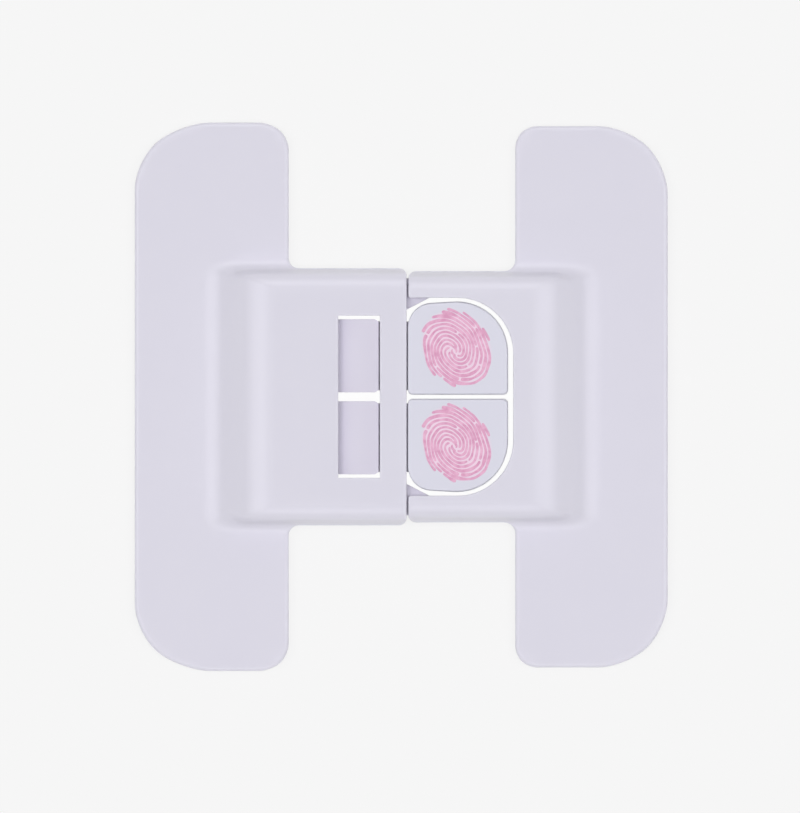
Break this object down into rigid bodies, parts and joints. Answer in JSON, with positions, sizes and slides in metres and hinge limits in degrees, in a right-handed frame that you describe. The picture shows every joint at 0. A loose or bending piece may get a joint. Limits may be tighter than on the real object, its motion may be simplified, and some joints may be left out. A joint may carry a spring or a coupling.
{
  "type": "cabinet safety lock",
  "caption": "Stick-on cabinet safety lock: a latch half with hooked spring tongues plugs into a keeper half, and pressing its finger buttons lets it slide out again.",
  "frame": {"origin": "middle of the closed lock on the door's surface, under the adhesive tape", "axes": "+Z out of the door towards the room, +X the way the latch half pulls out, +Y along the wings"},
  "size_m": [0.09, 0.0926, 0.01],
  "materials": {
    "cover_plastic": "satin",
    "plug_plastic": "satin",
    "button_plastic": "satin",
    "foam_tape": "matt foam",
    "print_ink": "pad print"
  },
  "bodies": {
    "keeper": {"keeper_cover": "cover_plastic", "keeper_tape_upper": "foam_tape", "keeper_tape_middle": "foam_tape", "keeper_tape_lower": "foam_tape"},
    "latch": {"latch_cover": "cover_plastic", "latch_frame": "plug_plastic", "latch_tape_upper": "foam_tape", "latch_tape_middle": "foam_tape", "latch_tape_lower": "foam_tape"},
    "upper_lever": {"upper_tongue": "plug_plastic", "upper_button": "button_plastic"},
    "lower_lever": {"lower_tongue": "plug_plastic", "lower_button": "button_plastic"}
  },
  "joints": [
    {"name": "latch_slide", "type": "slide", "parent": "keeper", "child": "latch", "axis": [1, 0, 0], "range_m": [0, 0.04]},
    {"name": "upper_press", "type": "hinge", "parent": "latch", "child": "upper_lever", "pos_m": [-0.02, 0, 0.0068], "axis": [0, 1, 0], "range_deg": [0, 6], "stiffness_Nm_per_rad": 1.5, "deforming": ["upper_tongue"]},
    {"name": "lower_press", "type": "hinge", "parent": "latch", "child": "lower_lever", "pos_m": [-0.02, 0, 0.0068], "axis": [0, 1, 0], "range_deg": [0, 6], "stiffness_Nm_per_rad": 1.5, "deforming": ["lower_tongue"]}
  ]
}
